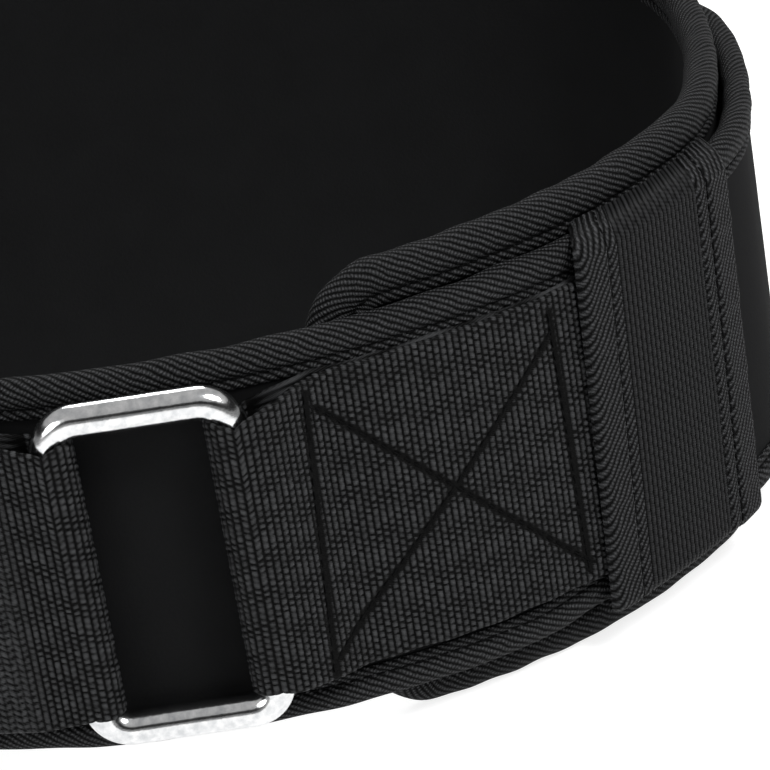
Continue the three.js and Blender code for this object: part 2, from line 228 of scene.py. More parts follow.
def belt_bottom(at):
    """The belt's lower edge, which the keepers press up a little."""
    start = PAD_START + KEEPER_OFFSET
    end = start + KEEPER_LENGTH + KEEPER_FLARE
    pressed = 0
    for spot in (at, PAD_START + PAD_LEFT - at):
        pressed = pressed + (ease(start - KEEPER_SQUEEZE_RAMP, start, spot)
                             * (1 - ease(end, end + KEEPER_SQUEEZE_RAMP, spot)))
    return KEEPER_SQUEEZE * pressed - BELT_HEIGHT / 2


BELT_OVER_PAD_END = PAD_HALF + BELT_TO_PAD_GAP + BELT_HALF - PAD_INSET - PAD_END_DROP
OVERLAP_LIFT = BELT_FRONT_LIFT + 2 * BELT_HALF + BELT_TO_PAD_GAP


def belt_lift(at):
    front = mix(BELT_FRONT_LIFT, BELT_OVER_PAD_END, ease(PAD_START - PAD_END_RAMP, PAD_START, at))
    side = mix(front, BELT_SIDE_LIFT, ease(PAD_START, BELT_SIDE_REACH, at))
    return mix(side, OVERLAP_LIFT, ease(0, LEFT_MERGE, at - (PAD_LEFT - LEFT_MERGE)))


PAD = {"start": PAD_START, "end": PAD_LEFT, "bottom": pad_bottom, "top": pad_top, "radius": PAD_CORNER}
BELT = {
    "start": -FLAP_END, "end": WAIST - LEFT_END,
    "bottom": belt_bottom, "top": belt_top, "radius": BELT_CORNER,
}

SEWN_LIFT = BELT_CORE / 2 + LAYER_GAP + STRAP_THICKNESS / 2
OVER_BINDING_LIFT = BELT_HALF + LAYER_GAP + STRAP_THICKNESS / 2
LAYER_STEP = STRAP_THICKNESS + LAYER_GAP
WRAP_RADIUS = RING_WIRE / 2 + STRAP_BAR_GAP + STRAP_THICKNESS / 2
FRONT_RADIUS = WAIST_ARCS[0][0]
BAR_REACH = (RING_WIDTH + RING_WIRE) / 2
BAR_LIFT = (float(belt_lift(RING_CENTRE)) + BELT_HALF + LAYER_GAP + RING_WIRE / 2
            + BAR_REACH ** 2 / (2 * FRONT_RADIUS))
BAR_STEP = math.asin(BAR_REACH / (FRONT_RADIUS + BAR_LIFT)) * FRONT_RADIUS
RIGHT_BAR = RING_CENTRE + BAR_STEP
LEFT_BAR = RING_CENTRE - BAR_STEP


# Meshes
def make_mesh(name, points, faces, uvs, material, relief=None, sharp=50):
    """A piece from quads, turned so that its faces point out, with a UV in metres for each face corner."""
    points = points.reshape(-1, 3)
    corners = points[faces]
    volume = 0.0
    for a, b, c in ((0, 1, 2), (0, 2, 3)):
        volume += np.einsum("ij,ij->i", corners[:, a], np.cross(corners[:, b], corners[:, c])).sum()
    if volume < 0:
        faces = faces[:, ::-1]
        uvs = uvs[:, ::-1]
    mesh = bpy.data.meshes.new(name)
    mesh.from_pydata(points.tolist(), [], faces.tolist())
    layer = mesh.uv_layers.new(name="UVMap")
    layer.data.foreach_set("uv", uvs.astype(np.float32).ravel())
    if relief is not None:
        attribute = mesh.attributes.new("relief", "FLOAT", "POINT")
        attribute.data.foreach_set("value", relief.astype(np.float32).ravel())
    mesh.polygons.foreach_set("use_smooth", np.ones(len(faces), bool))
    mesh.set_sharp_from_angle(angle=math.radians(sharp))
    mesh.materials.append(material)
    piece = bpy.data.objects.new(name, mesh)
    bpy.context.scene.collection.objects.link(piece)
    return piece


def grid_faces(rows, columns, offset=0):
    r, c = np.meshgrid(np.arange(rows - 1), np.arange(columns - 1), indexing="ij")
    first = offset + r * columns + c
    return np.stack([first, first + 1, first + columns + 1, first + columns], -1).reshape(-1, 4)


def slab(name, outer, inner, uv, material, relief=None):
    """A closed sheet between two grids of points, with quads round its four edges."""
    rows, columns = outer.shape[:2]
    count = rows * columns
    index = np.arange(count).reshape(rows, columns)
    rim = np.concatenate([index[0, :-1], index[:-1, -1], index[-1, :0:-1], index[:0:-1, 0]])
    after = np.roll(rim, -1)
    front = grid_faces(rows, columns)
    back = grid_faces(rows, columns, count)[:, ::-1]
    edges = np.stack([rim, rim + count, after + count, after], -1)
    faces = np.concatenate([front, back, edges])
    both = np.concatenate([uv.reshape(-1, 2)] * 2) * MM
    points = np.concatenate([outer.reshape(-1, 3), inner.reshape(-1, 3)])
    if relief is not None:
        relief = np.concatenate([relief.ravel(), relief.ravel()])
    return make_mesh(name, points, faces, both[faces], material, relief)


def hoop(name, rings, u, v, material):
    """A closed sweep of closed sections; u has one value more than the rings and v than a section."""
    count, around = rings.shape[:2]
    i, j = np.meshgrid(np.arange(count), np.arange(around), indexing="ij")
    i_next = (i + 1) % count
    j_next = (j + 1) % around
    faces = np.stack([i * around + j, i * around + j_next, i_next * around + j_next, i_next * around + j], -1)
    corner_u = np.stack([u[i], u[i], u[i + 1], u[i + 1]], -1)
    corner_v = np.stack([v[j], v[j + 1], v[j + 1], v[j]], -1)
    uvs = np.stack([corner_u, corner_v], -1).reshape(-1, 4, 2) * MM
    return make_mesh(name, rings, faces.reshape(-1, 4), uvs, material, sharp=75)


def stitches(name, lines, material):
    """Short rounded threads, one joined mesh; each line gives middles, directions and outward normals."""
    middles, ways, normals = (np.concatenate([line[k] for line in lines]) for k in range(3))
    ways = ways / np.linalg.norm(ways, axis=1, keepdims=True)
    normals = normals - ways * np.einsum("ij,ij->i", normals, ways)[:, None]
    normals /= np.linalg.norm(normals, axis=1, keepdims=True)
    sides = np.cross(ways, normals)
    along = np.array([-0.5, -0.36, 0, 0.36, 0.5]) * STITCH_LENGTH * MM
    girth = np.array([0.3, 0.85, 1, 0.85, 0.3]) * STITCH_RADIUS * MM
    sink = np.array([-0.8, -0.15, 0.25, -0.15, -0.8]) * STITCH_RADIUS * MM
    turns = np.arange(6) * math.pi / 3
    ring = ways[:, None, None] * along[:, None, None] + normals[:, None, None] * sink[:, None, None]
    ring = ring + normals[:, None, None] * (girth[:, None] * np.sin(turns))[..., None]
    ring = ring + sides[:, None, None] * (girth[:, None] * np.cos(turns))[..., None]
    points = middles[:, None, None] + ring
    count = len(along) * len(turns)
    i, j = np.meshgrid(np.arange(len(along) - 1), np.arange(6), indexing="ij")
    k = (j + 1) % 6
    walls = np.stack([i * 6 + j, i * 6 + k, (i + 1) * 6 + k, (i + 1) * 6 + j], -1).reshape(-1, 4)
    last = count - 6
    ends = np.array([[0, 1, 2, 3], [0, 3, 4, 5]])
    ends = np.concatenate([ends, last + ends[:, ::-1]])
    one = np.concatenate([walls, ends])
    faces = (one[None] + (np.arange(len(middles)) * count)[:, None, None]).reshape(-1, 4)
    uvs = np.zeros((len(faces), 4, 2))
    return make_mesh(name, points, faces, uvs, material)


def spaced_line(points, normals, pitch):
    """Middles, directions and normals at an even spacing along a line of points, in metres."""
    steps = np.linalg.norm(np.diff(points, axis=0), axis=1)
    along = np.concatenate([[0], np.cumsum(steps)])
    count = max(2, int(along[-1] / (pitch * MM)))
    at = (np.arange(count) + 0.5) * along[-1] / count
    middle = np.stack([np.interp(at, along, points[:, k]) for k in range(3)], -1)
    ahead = np.stack([np.interp(at + MM, along, points[:, k]) for k in range(3)], -1)
    behind = np.stack([np.interp(at - MM, along, points[:, k]) for k in range(3)], -1)
    normal = np.stack([np.interp(at, along, normals[:, k]) for k in range(3)], -1)
    return middle, ahead - behind, normal


# Materials
class Cloth:
    """Builds one material's height and colour from waves, noise and the UV in millimetres."""

    def __init__(self, name):
        self.material = bpy.data.materials.new(name)
        self.material.use_nodes = True
        self.tree = self.material.node_tree
        self.shader = self.tree.nodes["Principled BSDF"]
        coordinates = self.tree.nodes.new("ShaderNodeTexCoord")
        self.object = coordinates.outputs["Object"]
        split = self.tree.nodes.new("ShaderNodeSeparateXYZ")
        self.link(coordinates.outputs["UV"], split.inputs[0])
        self.u = self.math("DIVIDE", split.outputs[0], MM)
        self.v = self.math("DIVIDE", split.outputs[1], MM)

    def link(self, source, target):
        self.tree.links.new(source, target)

    def math(self, operation, a, b=None):
        node = self.tree.nodes.new("ShaderNodeMath")
        node.operation = operation
        for socket, value in zip(node.inputs, (a, b)):
            if value is None:
                continue
            if isinstance(value, (int, float)):
                socket.default_value = value
            else:
                self.link(value, socket)
        return node.outputs[0]

    def wave(self, along_u, along_v, pitch, shift=None):
        """A sine of 0 to 1 across the direction given by two weights."""
        part_u = self.math("MULTIPLY", self.u, along_u)
        part_v = self.math("MULTIPLY", self.v, along_v)
        phase = self.math("ADD", part_u, part_v)
        if shift is not None:
            phase = self.math("ADD", phase, shift)
        turned = self.math("SINE", self.math("MULTIPLY", phase, 2 * math.pi / pitch))
        return self.math("ADD", self.math("MULTIPLY", turned, 0.5), 0.5)

    def noise(self, size, detail):
        """Noise with features of a size in millimetres."""
        node = self.tree.nodes.new("ShaderNodeTexNoise")
        node.inputs["Scale"].default_value = 1 / (size * MM)
        node.inputs["Detail"].default_value = detail
        self.link(self.object, node.inputs["Vector"])
        return node.outputs["Fac"]

    def attribute(self, name):
        node = self.tree.nodes.new("ShaderNodeAttribute")
        node.attribute_name = name
        return node.outputs["Fac"]

    def colour(self, factor, dark, light, start=0.0, end=1.0):
        ramp = self.tree.nodes.new("ShaderNodeValToRGB")
        ramp.color_ramp.elements[0].color = (*dark, 1)
        ramp.color_ramp.elements[0].position = start
        ramp.color_ramp.elements[1].color = (*light, 1)
        ramp.color_ramp.elements[1].position = end
        self.link(factor, ramp.inputs["Fac"])
        self.link(ramp.outputs["Color"], self.shader.inputs["Base Color"])

    def bump(self, height, depth):
        node = self.tree.nodes.new("ShaderNodeBump")
        node.inputs["Distance"].default_value = depth * MM
        node.inputs["Strength"].default_value = 1
        self.link(height, node.inputs["Height"])
        self.link(node.outputs["Normal"], self.shader.inputs["Normal"])

    def finish(self, roughness, sheen=0.0, metallic=0.0, specular=0.5):
        self.shader.inputs["Roughness"].default_value = roughness
        self.shader.inputs["Sheen Weight"].default_value = sheen
        self.shader.inputs["Sheen Roughness"].default_value = 0.4
        self.shader.inputs["Metallic"].default_value = metallic
        self.shader.inputs["Specular IOR Level"].default_value = specular
        return self.material


def grey(value, tint=(0.98, 1.0, 1.04)):
    return tuple(value * t for t in tint)


def smooth_cloth(name, value):
    """Close smooth cover cloth with a faint grain."""
    cloth = Cloth(name)
    grain = cloth.noise(0.7, 3)
    cloud = cloth.noise(14, 2)
    height = cloth.math("ADD", cloth.math("MULTIPLY", grain, 0.8), cloth.math("MULTIPLY", cloud, 0.4))
    cloth.colour(height, grey(value * 0.6), grey(value * 1.35))
    cloth.bump(height, 0.08)
    return cloth.finish(0.95, sheen=0.0, specular=0.05)


def twill_tape():
    """Binding tape: slanted ridges of twill, each a row of small yarns."""
    cloth = Cloth("twill_tape")
    sway = cloth.math("MULTIPLY", cloth.noise(5, 2), 1.1)
    ridge = cloth.wave(-0.574, 0.819, 1.55, sway)
    yarn = cloth.wave(0.819, 0.574, 0.9, cloth.math("MULTIPLY", cloth.noise(1.6, 1), 0.9))
    fuzz = cloth.noise(0.4, 3)
    woven = cloth.math("MULTIPLY", ridge, cloth.math("ADD", cloth.math("MULTIPLY", yarn, 0.65), 0.35))
    height = cloth.math("ADD", cloth.math("MULTIPLY", woven, 0.85), cloth.math("MULTIPLY", fuzz, 0.5))
    # The colour follows the weave's height, dark in the valleys and light on the crowns: painted shade of the
    # twill, with the fuzz noise as random tone.
    cloth.colour(height, grey(0.0004), grey(0.06), 0.3, 1.15)
    cloth.bump(height, 0.9)
    return cloth.finish(0.75, sheen=0.0, specular=0.08)


def woven_webbing():
    """Strap webbing: its weave is in the mesh, and its yarns are fine lines along each float."""
    cloth = Cloth("woven_webbing")
    relief = cloth.attribute("relief")
    yarn = cloth.wave(0.25, 1, 0.44)
    fuzz = cloth.noise(0.35, 3)
    fine = cloth.math("ADD", cloth.math("MULTIPLY", yarn, 0.5), cloth.math("MULTIPLY", fuzz, 0.7))
    # Colour follows the floats' relief and the yarn lines, dark in their hollows: painted shade of the weave,
    # with the fuzz noise as random tone.
    shade = cloth.math("ADD", cloth.math("MULTIPLY", relief, 0.85), cloth.math("MULTIPLY", fine, 0.3))
    cloth.colour(shade, grey(0.0003), grey(0.045), 0.45, 1.15)
    cloth.bump(fine, 0.1)
    return cloth.finish(0.6, sheen=0.0, specular=0.08)


def ribbed_web():
    cloth = Cloth("ribbed_web")
    relief = cloth.attribute("relief")
    yarn = cloth.wave(0.3, 1, 0.7)
    fuzz = cloth.noise(0.35, 3)
    fine = cloth.math("ADD", cloth.math("MULTIPLY", yarn, 0.6), cloth.math("MULTIPLY", fuzz, 0.6))
    # Colour follows the ribs' relief and the yarn lines, dark in their hollows: painted shade of the ribs,
    # with the fuzz noise as random tone.
    shade = cloth.math("ADD", cloth.math("MULTIPLY", relief, 0.75), cloth.math("MULTIPLY", fine, 0.35))
    cloth.colour(shade, grey(0.0004), grey(0.022), 0.35, 1.1)
    cloth.bump(fine, 0.14)
    return cloth.finish(0.62, sheen=0.0, specular=0.07)


def sewing_thread():
    cloth = Cloth("sewing_thread")
    cloth.colour(cloth.noise(0.3, 2), grey(0.001), grey(0.005))
    return cloth.finish(0.8, sheen=0.0, specular=0.04)


def plated_steel():
    """Bright plating with faint mottling and hairline marks."""
    steel = Cloth("plated_steel")
    mottle = steel.noise(2.4, 3)
    marks = steel.noise(0.5, 4)
    height = steel.math("ADD", mottle, steel.math("MULTIPLY", marks, 0.35))
    steel.colour(mottle, (0.55, 0.56, 0.57), (0.8, 0.8, 0.8), 0.3, 0.7)
    steel.bump(height, 0.035)
    return steel.finish(0.16, metallic=1.0, specular=0.5)


LINING = smooth_cloth("lining_cloth", 0.0068)
COVER = smooth_cloth("cover_cloth", 0.0068)
TWILL = twill_tape()
WEBBING = woven_webbing()
RIBBED = ribbed_web()
THREAD = sewing_thread()
STEEL = plated_steel()


# Bound edges
def outline(shape, step):
    """Points evenly spaced once round a strip's rounded outline, with outward normals in its own plane."""
    start, end, bottom, top, radius = (shape[k] for k in ("start", "end", "bottom", "top", "radius"))
    inner = np.arange(start + radius, end - radius, 1.0)
    quarter = np.radians(np.arange(0, 90, 3))
    parts = []

    def corner(at, z, begin):
        angle = quarter + math.radians(begin)
        parts.append((at + radius * np.cos(angle), z + radius * np.sin(angle)))

    corner(start + radius, float(bottom(start + radius)) + radius, 180)
    parts.append((inner, bottom(inner)))
    corner(end - radius, float(bottom(end - radius)) + radius, 270)
    corner(end - radius, float(top(end - radius)) - radius, 0)
    parts.append((inner[::-1], top(inner[::-1])))
    corner(start + radius, float(top(start + radius)) - radius, 90)
    at, z = (np.concatenate([part[k] for part in parts]) for k in range(2))
    at, z = np.append(at, at[0]), np.append(z, z[0])
    along = np.concatenate([[0], np.cumsum(np.hypot(np.diff(at), np.diff(z)))])
    count = round(along[-1] / step)
    u = np.arange(count + 1) * along[-1] / count
    at, z = np.interp(u, along, at)[:-1], np.interp(u, along, z)[:-1]
    span = 2
    way_at = np.roll(at, -span) - np.roll(at, span)
    way_z = np.roll(z, -span) - np.roll(z, span)
    length = np.hypot(way_at, way_z)
    return {"at": at, "z": z, "n_at": way_z / length, "n_z": -way_at / length, "u": u}


def tape_rise(tape, depth):
    """Height of the folded tape over the middle layer: a fat roll, a stitched groove and a flat flange."""
    half = tape["core_half"] + LAYER_GAP + tape["wall"]
    roll = half * 1.15
    rounded = np.sqrt(np.clip(1 - (1 - np.minimum(depth, roll) / roll) ** 2, 0, 1))
    rise = half * rounded ** 0.9 + 0.15 * np.sin(np.pi * np.clip(depth / tape["groove"], 0, 1))
    groove = np.exp(-((depth - tape["groove"]) / 0.75) ** 2)
    flange = ease(tape["groove"] - 0.6, tape["groove"] + 0.6, depth)
    edge = ease(tape["width"] - 0.7, tape["width"], depth)
    return rise - 0.8 * groove - 0.35 * flange - 0.45 * edge


def on_outline(line, lift, depth, out):
    """Places section points, given as depth from the rim and height over the middle layer."""
    at = line["at"][:, None] - line["n_at"][:, None] * depth
    z = line["z"][:, None] - line["n_z"][:, None] * depth
    return place(at, lift(at) + out, z)


def bound_edge(name, shape, lift, tape, seed):
    """Folded tape round a strip, with its two rows of stitches."""
    line = outline(shape, 1.5)
    total = line["u"][-1]
    u = line["u"][:-1, None]
    width, wall = tape["width"], tape["wall"]
    rim = tape["core_half"] * (1 - np.cos(np.linspace(0, math.pi / 2, 7)))
    flat = np.linspace(tape["core_half"] + 1, tape["groove"] - 1.2, 3)
    sewn = tape["groove"] + np.array([-0.6, -0.2, 0.2, 0.7])
    flange = np.array([tape["groove"] + 1.3, width - 0.6, width - 0.15, width])
    depth = np.concatenate([rim, flat, sewn, flange])
    rise = tape_rise(tape, depth)
    pucker = np.cos(2 * np.pi * u / (total / round(total / STITCH_PITCH)))
    fade = np.exp(-np.abs(depth - tape["groove"]) / 2.2)
    swell = 0.16 * ripple(u, total, (40, 90, 150), seed) * (depth < tape["groove"])
    out = rise - 0.13 * pucker * fade + swell
    seat = wall + LAYER_GAP
    inside = tape["core_half"] + LAYER_GAP * 0.5
    rows = len(line["at"])
    wander = 0.22 * ripple(u, total, (25, 60, 110), seed + 1) * (1 - depth / width)
    depth_rows = np.broadcast_to(depth, (rows, len(depth))) + wander
    hidden_depth = np.broadcast_to([width, seat, seat, width], (rows, 4))
    hidden_out = np.broadcast_to([-inside, -inside, inside, inside], (rows, 4))
    full_depth = np.concatenate([depth_rows[:, ::-1], depth_rows[:, 1:], hidden_depth], 1)
    full_out = np.concatenate([out[:, ::-1], -out[:, 1:], hidden_out], 1)
    rings = on_outline(line, lift, full_depth, full_out)
    section = np.stack([full_depth[0], full_out[0]], -1)
    steps = np.linalg.norm(np.diff(np.vstack([section, section[:1]]), axis=0), axis=1)
    v = np.concatenate([[0], np.cumsum(steps)])
    tape_piece = hoop(name, rings, line["u"], v, TWILL)
    height = float(tape_rise(tape, np.array([tape["groove"]]))[0])
    lines = []
    for side in (1, -1):
        middle = on_outline(line, lift, np.full((1, 1), tape["groove"]), side * (height + 0.05))[:, 0]
        above = on_outline(line, lift, np.full((1, 1), tape["groove"]), side * (height + 1.05))[:, 0]
        closed = np.vstack([middle, middle[:1]])
        lines.append(spaced_line(closed, np.vstack([above - middle, (above - middle)[:1]]), STITCH_PITCH))
    thread = stitches(f"{name}_stitches", lines, THREAD)
    around = v[len(depth) * 2 - 2]
    return tape_piece, thread, (total * MM, around * MM)


# Flat layers
def layer_grid(shape, inset, step, columns):
    """Distances and heights over a strip's rounded outline, drawn in by an inset."""
    start, end = shape["start"] + inset, shape["end"] - inset
    radius = max(shape["radius"] - inset, 2)
    bend = radius * (1 - np.cos(np.radians(np.arange(3, 90, 9))))
    middle = np.linspace(start + radius, end - radius, round((end - start) / step))
    at = np.concatenate([start + bend, middle, end - bend[::-1]])
    reach = np.clip(radius - np.minimum(at - start, end - at), 0, radius)
    loss = radius - np.sqrt(radius ** 2 - reach ** 2)
    low = shape["bottom"](at) + inset + loss
    high = shape["top"](at) - inset - loss
    share = np.linspace(0, 1, columns)
    z = low[:, None] + (high - low)[:, None] * share
    at = np.broadcast_to(at[:, None], z.shape)
    return at, z, share


def crowned(share, power=4):
    return 1 - np.abs(2 * share - 1) ** power


def back_pad():
    at, z, share = layer_grid(PAD, PAD_TAPE["wall"] + 1, 3, 44)
    half = PAD_CORE / 2
    above = ease(BELT_HEIGHT / 2 + 3, BELT_HEIGHT / 2 + 12, z) * (1 - ease(0.75, 0.97, share))
    outer = half - 0.1 + 1.6 * above * (1 + 0.15 * ripple(at, WAIST, (14, 27), 5))
    lift = pad_lift(at)
    uv = np.stack([at, z], -1)
    piece = slab("back_pad_cover", place(at, lift + outer, z), place(at, lift - half + 0.1, z), uv, COVER)
    return dress(piece, "padding", "back_pad")


def pad_lining():
    inset = PAD_TAPE["width"] - 1.5
    at, z, share = layer_grid(PAD, inset, 3, 44)
    half = PAD_CORE / 2
    swell = 1.5 * crowned(share) + 0.25 * ripple(at, WAIST, (9, 17, 31), 8) * crowned(share, 2)
    lift = pad_lift(at) - half - LAYER_GAP
    uv = np.stack([at, z], -1)
    inner = place(at, lift - LINING_THICKNESS * 0.6 - swell, z)
    piece = slab("pad_lining_cloth", inner, place(at, lift - 0.2 * swell, z), uv, LINING)
    return dress(piece, "lining", "pad_lining")


def belt_panel():
    at, z, _ = layer_grid(BELT, BELT_TAPE["wall"] + 1, 2.5, 48)
    half = BELT_CORE / 2
    soft = 0.12 * ripple(at, WAIST, (19, 37, 71), 11) + 0.1 * ripple(z + at * 0.3, 101.5, (2, 5), 12)
    lift = belt_lift(at)
    uv = np.stack([at, z], -1)
    piece = slab("belt_panel_cover", place(at, lift + half + 0.12 * soft, z),
                 place(at, lift - half + 0.1, z), uv, COVER)
    return dress(piece, "lining", "belt_panel")


def dress(piece, slot, *nodes):
    """Rides a finished piece on the belt in place of its nodes."""
    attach(piece, "root")
    if nodes:
        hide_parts(*nodes)
    return piece


# Steel ring
def steel_ring():
    width, height = RING_WIDTH + RING_WIRE, RING_HEIGHT + RING_WIRE
    centre_x, centre_z = width / 2 - RING_CORNER, height / 2 - RING_CORNER
    quarter = np.radians(np.linspace(0, 90, 15))
    angle = np.concatenate([quarter + math.radians(begin) for begin in (0, 90, 180, 270)])
    sign_x = np.repeat([1, -1, -1, 1], len(quarter))
    sign_z = np.repeat([1, 1, -1, -1], len(quarter))
    n_x, n_z = np.cos(angle), np.sin(angle)
    x = sign_x * centre_x + RING_CORNER * n_x
    z = sign_z * centre_z + RING_CORNER * n_z
    turn = np.linspace(0, 2 * math.pi, 32, endpoint=False)
    side = RING_WIRE / 2 * np.cos(turn)
    rise = RING_WIRE / 2 * np.sin(turn)
    reach = (FRONT_RADIUS + BAR_LIFT) * math.cos(BAR_STEP / FRONT_RADIUS)
    about = RING_CENTRE / FRONT_RADIUS
    out = np.array([math.sin(about), -math.cos(about), 0])
    along = np.array([math.cos(about), math.sin(about), 0])
    middle = np.array([0, FRONT_RADIUS, 0]) + out * reach
    rings = (middle + along * (x[:, None] + n_x[:, None] * side)[..., None] + out * rise[None, :, None]
             + np.array([0, 0, 1]) * (z[:, None] + n_z[:, None] * side)[..., None])
    rings = rings * MM + np.array(FRONT)
    steps = np.hypot(np.diff(np.append(x, x[0])), np.diff(np.append(z, z[0])))
    u = np.concatenate([[0], np.cumsum(steps)])
    v = np.linspace(0, math.pi * RING_WIRE, len(turn) + 1)
    return dress(hoop("ring_steel", rings, u, v, STEEL), "plated_steel", "ring")


# Webbing
def weave(u, v, chevron):
    """Height of a webbing's floats, 0 to 1: zigzag rows where chevron is 1, staggered dots where it is 0."""
    column = np.floor(u / WEAVE_COLUMN)
    across = u / WEAVE_COLUMN - column - 0.5
    lean = np.where(column % 2 == 0, 1.0, -1.0)
    uneven = 0.1 * ripple(v + 3.1 * column, STRAP_WIDTH, (23, 41, 67), 17)
    zigzag = grain(v / WEAVE_ROW + 0.5 * lean * across + uneven, across, column, 0.55)
    dots = grain(v / WEAVE_ROW + 0.5 * (column % 2) + 0.2 * lean * across + uneven, across, column, 0.95)
    return mix(dots, zigzag, chevron)


def grain(row, across, column, gap):
    """One float's rounded height; every float is a little higher or lower than its neighbours."""
    down = row - np.floor(row) - 0.5
    wild = np.sin(SCATTER[0] * column + SCATTER[1] * np.floor(row)) * SCATTER[2]
    height = (1 - gap * (2 * across) ** 2) * (1 - (2 * down) ** 2)
    return np.clip(height, 0, 1) ** 0.7 * (0.78 + 0.22 * (wild - np.floor(wild)))


def line_distance(at, z, lines):
    """Distance of points from the nearest of some straight lines."""
    nearest = np.full(np.broadcast(at, z).shape, 1e3)
    for (a0, z0), (a1, z1) in lines:
        way = np.array([a1 - a0, z1 - z0], float)
        share = np.clip(((at - a0) * way[0] + (z - z0) * way[1]) / (way @ way), 0, 1)
        nearest = np.minimum(nearest, np.hypot(at - a0 - share * way[0], z - z0 - share * way[1]))
    return nearest


def spread(bar, at):
    """How far a strap has spread from the ring's bar to its full width, from 0 to 1."""
    return np.clip(np.abs(at - bar) / STRAP_SPREAD, 0, 1) ** 0.6


def webbing_strap(name, at, lift, bar, fine_from, zigzag, sewn=()):
    """Webbing along a path of distances and lifts, woven finely from a place on the path on."""
    middle = place(at, lift, 0)
    along = np.concatenate([[0], np.cumsum(np.linalg.norm(np.diff(middle, axis=0), axis=1))]) / MM
    step = WEAVE_COLUMN / 4
    fine_start = math.floor(along[fine_from] / WEAVE_COLUMN) * WEAVE_COLUMN
    coarse = np.linspace(0, fine_start, max(3, round(fine_start / 4)), endpoint=False)
    u = np.concatenate([coarse, np.arange(fine_start, along[-1], step)])
    at, lift = np.interp(u, along, at), np.interp(u, along, lift)
    way_at, way_lift = np.gradient(at), np.gradient(lift)
    smooth = np.ones(5) / 5
    way_at = np.convolve(np.pad(way_at, 2, "edge"), smooth, "valid")
    way_lift = np.convolve(np.pad(way_lift, 2, "edge"), smooth, "valid")
    length = np.hypot(way_at, way_lift)
    n_at, n_lift = (-way_lift / length)[:, None], (way_at / length)[:, None]
    wide = spread(bar, at)[:, None]
    width = mix(STRAP_AT_BAR, STRAP_WIDTH, wide)
    columns = round(STRAP_WIDTH / (WEAVE_ROW / 4))
    share = np.linspace(-0.5, 0.5, columns)
    edge_wave = 0.25 * ripple(u, along[-1], (6, 13), 21)[:, None]
    z = width * share + edge_wave * np.abs(share) * 2 * np.sign(share)
    z = z + STRAP_TOP_RISE * wide * (share + 0.5)
    v = STRAP_WIDTH * share[None, :] + 0 * z
    distance = line_distance(at[:, None], z, sewn) if sewn else np.full_like(z, 1e3)
    sunk = np.exp(-(distance / 0.8) ** 2) * (u[:, None] > along[fine_from])
    chevron = ease(*zigzag, np.abs(at - bar))[:, None]
    relief = weave(np.broadcast_to(u[:, None], z.shape), v, chevron) * (1 - 0.6 * sunk)
    to_edge = np.clip(np.abs(share) * STRAP_WIDTH - STRAP_WIDTH / 2 + 0.9, 0, 0.88)
    selvedge = np.sqrt(1 - to_edge ** 2)
    body = (STRAP_THICKNESS - WEAVE_RELIEF) / 2
    thick = (body + WEAVE_RELIEF * (relief - 0.3)) * selvedge
    high, low = thick - 0.45 * sunk, thick
    outer = place(at[:, None] + n_at * high, lift[:, None] + n_lift * high, z)
    inner = place(at[:, None] - n_at * low, lift[:, None] - n_lift * low, z)
    uv = np.stack([np.broadcast_to(u[:, None], z.shape), v], -1)
    # The relief that colours the webbing is lowered along the seams: painted shade in the stitched grooves.
    piece = slab(name, outer, inner, uv, WEBBING, np.clip(relief - 0.5 * sunk, 0, 1))
    return piece


def bar_wrap(bar, side):
    angle = np.linspace(-math.pi / 2, math.pi / 2, 25)
    return bar + side * WRAP_RADIUS * np.cos(angle), BAR_LIFT + WRAP_RADIUS * np.sin(angle)


def ring_strap():
    """Sewn flat on the belt, folded round the ring's right bar and back over itself, with its seams."""
    end = keeper_front(0) + STRAP_TUCK
    run = np.arange(RIGHT_BAR + 0.5, end, 0.5)
    rise = ease(0, STRAP_RAMP, run - RIGHT_BAR)
    under = mix(BAR_LIFT - WRAP_RADIUS, belt_lift(run) + SEWN_LIFT, rise)
    over = mix(BAR_LIFT + WRAP_RADIUS, belt_lift(run) + SEWN_LIFT + LAYER_STEP, rise)
    wrap_at, wrap_lift = bar_wrap(RIGHT_BAR, -1)
    at = np.concatenate([run[::-1], wrap_at, run])
    lift = np.concatenate([under[::-1], wrap_lift, over])
    piece = webbing_strap("ring_strap_webbing", at, lift, RIGHT_BAR, len(run) - 8, RING_ZIGZAG,
                          RING_STRAP_SEAMS)
    dress(piece, "webbing", "ring_strap")
    lines = []
    for (a0, z0), (a1, z1) in RING_STRAP_SEAMS:
        share = np.linspace(0, 1, 60)
        seam_at, seam_z = mix(a0, a1, share), mix(z0, z1, share)
        top = np.interp(seam_at, run, over) + STRAP_THICKNESS / 2 - 0.72
        points = place(seam_at, top, seam_z)
        lines.append(spaced_line(points, place(seam_at, top + 1, seam_z) - points, STITCH_PITCH))
    dress(stitches("ring_strap_stitches", lines, THREAD), "webbing")


